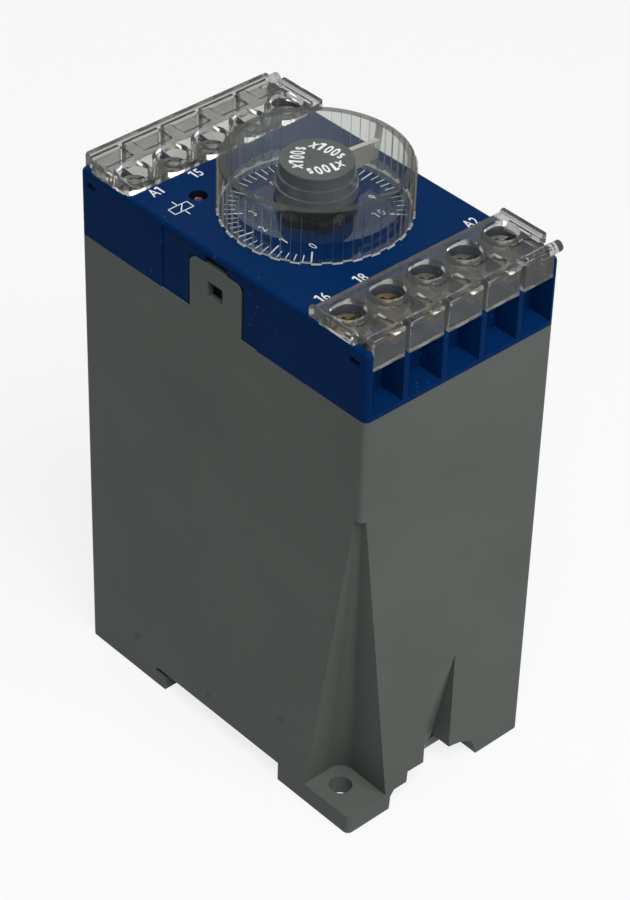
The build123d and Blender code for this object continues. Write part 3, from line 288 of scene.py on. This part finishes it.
def paint_gap_shade(m):
    """Painted shade on the cover: in the gap round the tongue of the case, in its window and in the lamp's
    hole.
    """
    nt = m.node_tree
    x, y, z = split(nt, "Object")
    off = sums(nt, "ABSOLUTE", sums(nt, "SUBTRACT", y, TONGUE_MIDDLE))
    # Painted shade in the gap along the edges of the tongue
    tongue_edge_shade = product(
        nt, below(nt, off, TONGUE_HALF + GAP_SHADE_HALF), above(nt, off, TONGUE_HALF - GAP_SHADE_HALF),
        below(nt, z, TONGUE_END),
    )
    # Painted shade in the window of the tongue
    window_shade = product(nt, below(nt, off, TONGUE_HALF / 2), below(nt, z, TONGUE_END - NOSE_DROP))
    side = below(nt, x, -CASE_SIDE + COVER_WALL)
    gap_shade = product(nt, side, sums(nt, "MAXIMUM", tongue_edge_shade, window_shade))
    far = length(nt, sums(nt, "SUBTRACT", x, LAMP_SPOT[0]), sums(nt, "SUBTRACT", y, LAMP_SPOT[1]))
    # Painted shade in the lamp's hole
    hole = product(nt, below(nt, far, LAMP_HOLE), below(nt, z, PLATE_TOP - PLATE_SKIN))
    darken(m, sums(nt, "MAXIMUM", gap_shade, hole), 0.12)


# Clear materials
def solid_clear(nt, tint, rough, ior):
    """Clear plastic that bends light."""
    return principled(nt, tint, rough, Transmission_Weight=1.0, IOR=ior)


def thin_clear(nt, tint, rough, ior):
    """Clear plastic of thin walls: darker where a face is seen at a low angle, with a faint gloss."""
    weight = nt.nodes.new("ShaderNodeLayerWeight")
    weight.inputs["Blend"].default_value = 0.5
    stops = [(0.55, tint), (0.85, scaled(tint, 0.70)), (0.98, scaled(tint, 0.26))]
    through = nt.nodes.new("ShaderNodeBsdfTransparent")
    nt.links.new(ramp(nt, weight.outputs["Facing"], stops), through.inputs["Color"])
    gloss = nt.nodes.new("ShaderNodeBsdfAnisotropic")
    gloss.inputs["Roughness"].default_value = rough
    fresnel = nt.nodes.new("ShaderNodeFresnel")
    fresnel.inputs["IOR"].default_value = ior
    return mix_shader(nt, product(nt, fresnel.outputs[0], 0.10), through, gloss)


def cloud(nt, share):
    """Uneven haze of clear plastic."""
    return product(nt, noise(nt, 260, 3.0), share)


def clear_mix(nt, out, glass, veil, veil_color, wave, pass_color):
    """Clear plastic with a share of it, the socket veil, replaced by a dull haze."""
    haze = principled(nt, ON, 0.5, Specular_IOR_Level=0.3)
    feed(nt, veil_color, haze.inputs["Base Color"])
    normal = bump(nt, noise(nt, 350, 1.0), wave, 0.0002)
    nt.links.new(normal, haze.inputs["Normal"])
    if "Normal" in glass.inputs:
        nt.links.new(normal, glass.inputs["Normal"])
    # Light reaches what lies under the clear plastic
    path = nt.nodes.new("ShaderNodeLightPath")
    passed = nt.nodes.new("ShaderNodeBsdfTransparent")
    passed.inputs["Color"].default_value = (*pass_color, 1)
    last = mix_shader(nt, path.outputs["Is Shadow Ray"], mix_shader(nt, veil, glass, haze), passed)
    nt.links.new(last.outputs[0], out.inputs["Surface"])


def clear_lid(name):
    """Slightly smoky clear covers with a cloudy veil, brighter on their upright faces as a painted
    highlight.
    """
    m, nt, out = new_material(name)
    normal_z = split(nt, "Normal")[2]
    # Upright faces get more veil: a painted highlight
    upright = below(nt, sums(nt, "ABSOLUTE", normal_z), LEVEL)
    veil = sums(nt, "ADD", cloud(nt, 0.25), product(nt, upright, 0.11))
    glass = solid_clear(nt, (0.66, 0.66, 0.64), 0.05, 1.25)
    clear_mix(nt, out, glass, veil, (0.105, 0.108, 0.098), 0.22, (0.66, 0.66, 0.65))
    return m


def clear_dial(name):
    """Clear dial: dull fin with a painted highlight on its top, tooth flanks paler as a painted highlight,
    pale foot and underside, hazy inner wall and hub, a faint painted reflection on the floor, painted
    shade on the rim top.
    """
    m, nt, out = new_material(name)
    x, y, z = split(nt, "Object")
    nx, ny, nz = split(nt, "Normal")
    radius = length(nt, x, y)
    radial = sums(nt, "DIVIDE", sums(nt, "ADD", product(nt, nx, x), product(nt, ny, y)), radius)
    upright = below(nt, sums(nt, "ABSOLUTE", nz), LEVEL)
    level = above(nt, nz, LEVEL)
    teeth = above(nt, radius, SKIRT_RADIUS)
    # Paler tooth flanks: a painted highlight
    flank_highlight = product(nt, teeth, below(nt, sums(nt, "ABSOLUTE", radial), ROUND), upright)
    inner = product(nt, above(nt, radius, WALL_RADIUS), below(nt, radial, -ROUND), upright)
    under = product(nt, below(nt, nz, -LEVEL), below(nt, z, UNDERSIDE_BELOW))
    foot = product(nt, teeth, below(nt, z, FOOT_BELOW))
    across = sums(
        nt, "SUBTRACT", product(nt, y, math.cos(FIN_TURN)), product(nt, x, math.sin(FIN_TURN)),
    )
    fin = product(
        nt, below(nt, sums(nt, "ABSOLUTE", across), FIN_HALF), above(nt, x, FIN_START),
        above(nt, z, HUB_ABOVE), below(nt, radius, FIN_END),
    )
    # Paler top of the fin: a painted highlight
    fin_top_highlight = product(nt, fin, level)
    # Faint grey veil on the floor of the dial: a painted reflection
    dish_reflection = product(nt, above(nt, nz, FLAT), below(nt, z, FLOOR_BELOW), below(nt, radius, FLOOR_RADIUS))
    hub = product(nt, below(nt, radius, HUB_RADIUS), above(nt, z, HUB_ABOVE))
    # Dark top of the rim: painted shade
    rim = product(nt, above(nt, z, RIM_ABOVE), level)
    tones = (
        (inner, 0.20, (0.27, 0.29, 0.28)),
        (flank_highlight, 0.55, (0.22, 0.21, 0.175)),
        (under, 0.85, (0.62, 0.64, 0.62)),
        (foot, 0.55, (0.55, 0.57, 0.55)),
        (fin, 0.62, (0.25, 0.25, 0.225)),
        (fin_top_highlight, 0.38, (0.40, 0.39, 0.335)),
        (dish_reflection, 0.01, (0.16, 0.17, 0.16)),
        (hub, 0.72, (0.100, 0.109, 0.114)),
        (rim, 0.72, (0.018, 0.021, 0.017)),
    )
    veil = cloud(nt, 0.008)
    tone = (0.15, 0.155, 0.15)
    for part, amount, color in tones:
        veil = sums(nt, "ADD", veil, product(nt, part, amount))
        tone = mix_color(nt, part, tone, color)
    veil = sums(nt, "MINIMUM", veil, 1.0)
    glass = thin_clear(nt, (0.92, 0.93, 0.915), 0.05, 1.45)
    clear_mix(nt, out, glass, veil, tone, 0.05, (0.97, 0.97, 0.965))
    return m


# The look of each piece
GREY = moulded("grey_case", (0.098, 0.111, 0.101), 0.6, 0.55, (0.035, 0.036, 0.032))
GREY_LIGHT = moulded("grey_catch", (0.30, 0.31, 0.29), 0.5, 0.3, (0.1, 0.1, 0.09))
BLUE = moulded("blue_cover", (0.0003, 0.0190, 0.086), 0.6, 0.6, (0.10, 0.15, 0.24), sheen=0.03)
stain_case(GREY)
# Painted shade in the gaps round the tongue, in its window and in the lamp's hole
paint_gap_shade(BLUE)
LID = clear_lid("terminal_cover_clear")
DIAL = clear_dial("dial_clear")
CAP = plain("cap_grey", (0.082, 0.096, 0.089), 0.55, grain=0.2, Specular_IOR_Level=0.15)
BLACK = plain("black_plastic", (0.012, 0.012, 0.013), 0.4, grain=0.2)
BLACK_GLOSS = plain("black_gloss", (0.012, 0.012, 0.013), 0.2)
STEEL = turned_metal("plated_steel", (0.55, 0.53, 0.48), 0.3)
NICKEL = turned_metal("nickel", (0.50, 0.47, 0.41), 0.28)
SCREW = turned_metal("screw_steel", (0.36, 0.35, 0.33), 0.28)
SCREW_WARM = turned_metal("screw_bronze", (0.42, 0.33, 0.19), 0.28)
BRASS = turned_metal("brass", (0.66, 0.52, 0.26), 0.3)
BRONZE = turned_metal("bronze", (0.62, 0.38, 0.18), 0.3)
IRON = turned_metal("laminations", (0.20, 0.20, 0.20), 0.5)
BOARD = board("laminate")
LAMP = plain("lamp_red", (0.055, 0.010, 0.009), 0.2, Transmission_Weight=0.25)
COPPER = plain("winding_copper", (0.45, 0.14, 0.035), 0.35)
TAPE = plain("winding_tape", (0.55, 0.36, 0.05), 0.4)
CAN = plain("can_sleeve", (0.03, 0.04, 0.14), 0.3)
RED_BOX = plain("box_red", (0.42, 0.05, 0.03), 0.35)
TAN = plain("resistor_tan", (0.50, 0.34, 0.18), 0.4)
INK_WHITE = plain("ink_white", (0.72, 0.75, 0.78), 0.5)
INK_CAP = plain("ink_cap", (0.80, 0.82, 0.80), 0.5)

LOOKS = {
    "case": GREY, "rail_catch": GREY_LIGHT, "catch_spring": STEEL, "front_cover": BLUE,
    "terminal_cover_lower": LID, "terminal_cover_upper": LID, "contact_strips_lower": BRASS,
    "contact_strips_upper": BRASS, "dial_knob": DIAL, "dial_cap": CAP, "potentiometer_shaft": BLACK,
    "potentiometer_body": BLACK, "potentiometer_nut": BLACK_GLOSS, "indicator_lamp": LAMP,
    "lamp_legs": NICKEL, "front_board": BOARD, "side_board": BOARD, "board_link": BRASS,
    "transformer_core": IRON, "transformer_winding": TAPE, "relay_base": BLACK, "relay_yoke": STEEL,
    "relay_coil": COPPER, "relay_armature": STEEL, "relay_contact_blade": BRONZE,
    "relay_fixed_contacts": BRASS, "smoothing_capacitor": CAN, "timing_capacitor": RED_BOX,
    "timer_chip": BLACK, "resistors": TAN, "rectifier_diodes": BLACK_GLOSS, "drive_transistor": BLACK,
    "terminal_screw_lower_1": SCREW_WARM, "terminal_screw_lower_2": SCREW_WARM,
}
for name, obj in NODES.items():
    look = LOOKS.get(name, STEEL if name.startswith("clamp") else SCREW)
    obj.data.materials.clear()
    obj.data.materials.append(look)


# In the real part the spring shortens as the catch is pulled out; here a copy of it with a mesh of its own
# sits on the root body and the spring itself is hidden
coil = bpy.data.objects.new("spring_coil", NODES["catch_spring"].data.copy())
bpy.context.scene.collection.objects.link(coil)
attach(coil, "root")
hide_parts("catch_spring")
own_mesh(coil)


# Printed marks, with their sizes in mm and the height z of the ink in metres
FONT_SIZE = 1.42
CURVE_STEPS = 3


def ink(name, verts, faces, body, look):
    """A mesh of flat ink that moves with body."""
    mesh = bpy.data.meshes.new(name)
    mesh.from_pydata(verts, [], faces)
    mesh.update()
    obj = bpy.data.objects.new(name, mesh)
    bpy.context.scene.collection.objects.link(obj)
    mesh.materials.append(look)
    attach(obj, body)


def plate_mark(name, outlines, z, body, look):
    """Patches of ink, each from an outline, a list of corners."""
    verts = []
    faces = []
    for outline in outlines:
        start = len(verts)
        verts += [(x * MM, y * MM, z) for x, y in outline]
        faces.append(tuple(range(start, len(verts))))
    ink(name, verts, faces, body, look)


def figure_one(height, weight):
    """Outline of a figure 1, a stem with a short flag, its baseline at 0."""
    half = height * 0.07 + weight
    flag = height * 0.26 + weight
    drop = height * 0.10
    return [
        Vector((-half, 0, 0)), Vector((half, 0, 0)), Vector((half, height, 0)), Vector((-half, height, 0)),
        Vector((-flag, height - drop, 0)), Vector((-flag, height - drop - 2 * half, 0)),
        Vector((-half, height - 2.4 * half, 0)),
    ]


def glyph(text, height, weight, narrow):
    """One sign of the font: its points, with the baseline at 0 and the middle at 0, and its faces."""
    curve = bpy.data.curves.new("t", "FONT")
    curve.body = text
    curve.size = height * FONT_SIZE
    curve.align_x = "CENTER"
    curve.align_y = "BOTTOM_BASELINE"
    curve.offset = weight
    curve.resolution_u = CURVE_STEPS
    holder = bpy.data.objects.new("t", curve)
    bpy.context.scene.collection.objects.link(holder)
    bpy.context.view_layer.update()
    graph = bpy.context.evaluated_depsgraph_get()
    mesh = bpy.data.meshes.new_from_object(holder.evaluated_get(graph))
    points = [Vector((v.co.x * narrow, v.co.y, 0)) for v in mesh.vertices]
    faces = [tuple(p.vertices) for p in mesh.polygons]
    bpy.data.objects.remove(holder)
    bpy.data.curves.remove(curve)
    bpy.data.meshes.remove(mesh)
    return points, faces


def letters(name, items, z, body, look, weight=0.0, narrow=0.74):
    """Signs of ink. Each item is (sign, height, x, baseline y, turn in degrees)."""
    verts = []
    faces = []
    for text, height, x, y, turn in items:
        if text == "1":
            points = figure_one(height, weight)
            outlines = [tuple(range(len(points)))]
        else:
            points, outlines = glyph(text, height, weight, narrow)
        place = Matrix.Translation((x, y, 0)) @ Matrix.Rotation(math.radians(turn), 4, "Z")
        start = len(verts)
        placed = [place @ p for p in points]
        verts += [(p.x * MM, p.y * MM, z) for p in placed]
        faces += [tuple(start + i for i in outline) for outline in outlines]
    ink(name, verts, faces, body, look)


def stroke(x0, y0, x1, y1, width):
    """Outline of a straight line of ink."""
    d = Vector((x1 - x0, y1 - y0)).normalized() * width / 2
    return [(x0 + d.y, y0 - d.x), (x1 + d.y, y1 - d.x), (x1 - d.y, y1 + d.x), (x0 - d.y, y0 + d.x)]


def spoke(angle, r0, r1, width):
    a = math.radians(angle)
    return stroke(r0 * math.cos(a), r0 * math.sin(a), r1 * math.cos(a), r1 * math.sin(a), width)


# Marks beside the terminals
MARK = 2.4
UPPER_LINE, LOWER_LINE = 21.3, -21.4
MARKS = (
    ("A", -17.95, UPPER_LINE), ("1", -16.45, UPPER_LINE),
    ("1", -8.7, UPPER_LINE), ("5", -7.6, UPPER_LINE),
    ("1", -17.4, LOWER_LINE), ("6", -16.3, LOWER_LINE),
    ("1", -8.7, LOWER_LINE), ("8", -7.6, LOWER_LINE),
    ("A", 17.4, LOWER_LINE), ("2", 18.9, LOWER_LINE),
)
signs = [(sign, MARK, x, y, 0) for sign, x, y in MARKS]
letters("terminal_marks", signs, PLATE_INK, "root", INK_WHITE, weight=0.03)

# Sign of a relay coil: a box with a slanting line and two leads
SX, SY = -17.4, 15.72
BOX_X, BOX_Y, LEAD_END, LINE = 2.1, 0.97, 2.5, 0.2
SLANT_LEFT, SLANT_RIGHT = -0.8, 1.1
COIL_LINES = (
    (-BOX_X, -BOX_Y, BOX_X, -BOX_Y), (-BOX_X, BOX_Y, BOX_X, BOX_Y),
    (-BOX_X, -BOX_Y, -BOX_X, BOX_Y), (BOX_X, -BOX_Y, BOX_X, BOX_Y),
    (SLANT_LEFT, -BOX_Y, SLANT_RIGHT, BOX_Y),
    (0, BOX_Y, 0, LEAD_END), (0, -LEAD_END, 0, -BOX_Y),
)
strokes = [stroke(SX + x0, SY + y0, SX + x1, SY + y1, LINE) for x0, y0, x1, y1 in COIL_LINES]
plate_mark("coil_sign", strokes, PLATE_INK, "root", INK_WHITE)

# Scale under the dial: every fifth tick is long and has a figure
FIGURE, FIGURE_PITCH, FIGURE_RADIUS = 1.9, 1.3, 11.0
SCALE_START, SCALE_TURN, SCALE_STEPS, LONG_EACH = 225, 270, 50, 5
TICK_END = 16.0
LONG_TICK, SHORT_TICK = (12.8, 0.28), (14.0, 0.18)
ticks = []
figures = []
for step in range(SCALE_STEPS + 1):
    angle = SCALE_START - step * SCALE_TURN / SCALE_STEPS
    long_one = step % LONG_EACH == 0
    tick_start, tick_width = LONG_TICK if long_one else SHORT_TICK
    ticks.append(spoke(angle, tick_start, TICK_END, tick_width))
    if long_one:
        a = math.radians(angle)
        x, y = FIGURE_RADIUS * math.cos(a), FIGURE_RADIUS * math.sin(a)
        number = str(step // LONG_EACH)
        for place, digit in enumerate(number):
            shift = (place - (len(number) - 1) / 2) * FIGURE_PITCH
            figures.append((digit, FIGURE, x + shift, y - FIGURE / 2, 0))
plate_mark("scale_ticks", ticks, PLATE_INK, "root", INK_WHITE)
letters("scale_figures", figures, PLATE_INK, "root", INK_WHITE)

# Three equal words on the cap, each on a straight line across a radius
CAP_LINE, CAP_FIGURE, CAP_PITCH = 2.3, 2.5, 1.42
CAP_WORD, CAP_TURNS = "x100s", (13, 133, 253)
glyphs = []
for turn in CAP_TURNS:
    a = math.radians(turn)
    out = Vector((math.cos(a), math.sin(a)))
    along = Vector((out.y, -out.x))
    for index, sign in enumerate(CAP_WORD):
        spot = out * CAP_LINE + along * (index - 2) * CAP_PITCH
        glyphs.append((sign, CAP_FIGURE, spot.x, spot.y, turn - 90))
letters("cap_lettering", glyphs, CAP_INK, "dial", INK_CAP, weight=0.10, narrow=0.66)


# Stage: floor, world and lamps
FLOOR_SIZE, FLOOR_Z = 8, -0.0002
FLOOR_GREY = (0.50, 0.50, 0.50)
FLOOR_GLOW, GLOW_SHARE = 1.14, 0.72
SOFT_LIGHT, WHITE_LIGHT = 0.09, 1.0
AIM = (0, 0, 0.06)
LAMP_SIZE = 0.5


def background_rays(nt):
    """1 for the rays that show the background: camera, glossy and transmission rays."""
    path = nt.nodes.new("ShaderNodeLightPath")
    seen = sums(nt, "MAXIMUM", path.outputs["Is Camera Ray"], path.outputs["Is Glossy Ray"])
    return sums(nt, "MAXIMUM", seen, path.outputs["Is Transmission Ray"])


def stage_material():
    m, nt, out = new_material("floor_white")
    matt = nt.nodes.new("ShaderNodeBsdfDiffuse")
    matt.inputs["Color"].default_value = (*FLOOR_GREY, 1)
    glow = nt.nodes.new("ShaderNodeEmission")
    glow.inputs["Strength"].default_value = FLOOR_GLOW
    shown = mix_shader(nt, product(nt, background_rays(nt), GLOW_SHARE), matt, glow)
    nt.links.new(shown.outputs[0], out.inputs["Surface"])
    return m


def background(nt, strength):
    b = nt.nodes.new("ShaderNodeBackground")
    b.inputs["Color"].default_value = (*ON, 1)
    b.inputs["Strength"].default_value = strength
    return b


def lamp(name, place, power):
    """A square lamp that faces the middle of the part."""
    data = bpy.data.lights.new(name, "AREA")
    data.shape = "SQUARE"
    data.size = LAMP_SIZE
    data.energy = power
    obj = bpy.data.objects.new(name, data)
    scene.collection.objects.link(obj)
    obj.location = place
    obj.rotation_euler = (Vector(AIM) - Vector(place)).to_track_quat("-Z", "Y").to_euler()


bpy.ops.mesh.primitive_plane_add(size=FLOOR_SIZE, location=(0, 0, FLOOR_Z))
floor = bpy.context.object
floor.name = "floor"
floor.data.materials.append(stage_material())

scene = bpy.context.scene
world = bpy.data.worlds.new("studio")
scene.world = world
world.use_nodes = True
wt = world.node_tree
wt.nodes.clear()
wout = wt.nodes.new("ShaderNodeOutputWorld")
sky = mix_shader(wt, background_rays(wt), background(wt, SOFT_LIGHT), background(wt, WHITE_LIGHT))
wt.links.new(sky.outputs[0], wout.inputs["Surface"])

lamp("key", (0.06, -0.8, 0.76), 4.6)
lamp("top", (-0.31, -0.48, 1.0), 9.0)
lamp("back_fill", (0.3, 0.9, 0.5), 2.4)

# Camera
AZ, EL, ROLL, DIST = math.radians(-43.44), math.radians(38.04), math.radians(1.80), 0.5528
TARGET = Vector((0.00268, 0.00110, 0.055))
FOCAL_LENGTH, SENSOR_WIDTH = 118.7, 36
CLIP_START, CLIP_END = 0.01, 50
back = Vector((math.sin(AZ) * math.cos(EL), -math.cos(AZ) * math.cos(EL), math.sin(EL)))
level_right = Vector((0, 0, 1)).cross(back).normalized()
level_up = back.cross(level_right)
right = level_right * math.cos(ROLL) + level_up * math.sin(ROLL)
up = back.cross(right)
cam_turn = Matrix((right, up, back)).transposed().to_4x4()
cam_data = bpy.data.cameras.new("camera")
cam_data.lens = FOCAL_LENGTH
cam_data.sensor_width = SENSOR_WIDTH
cam_data.clip_start = CLIP_START
cam_data.clip_end = CLIP_END
cam = bpy.data.objects.new("camera", cam_data)
scene.collection.objects.link(cam)
cam.matrix_world = Matrix.Translation(TARGET + back * DIST) @ cam_turn
scene.camera = cam

scene.view_settings.view_transform = "Standard"
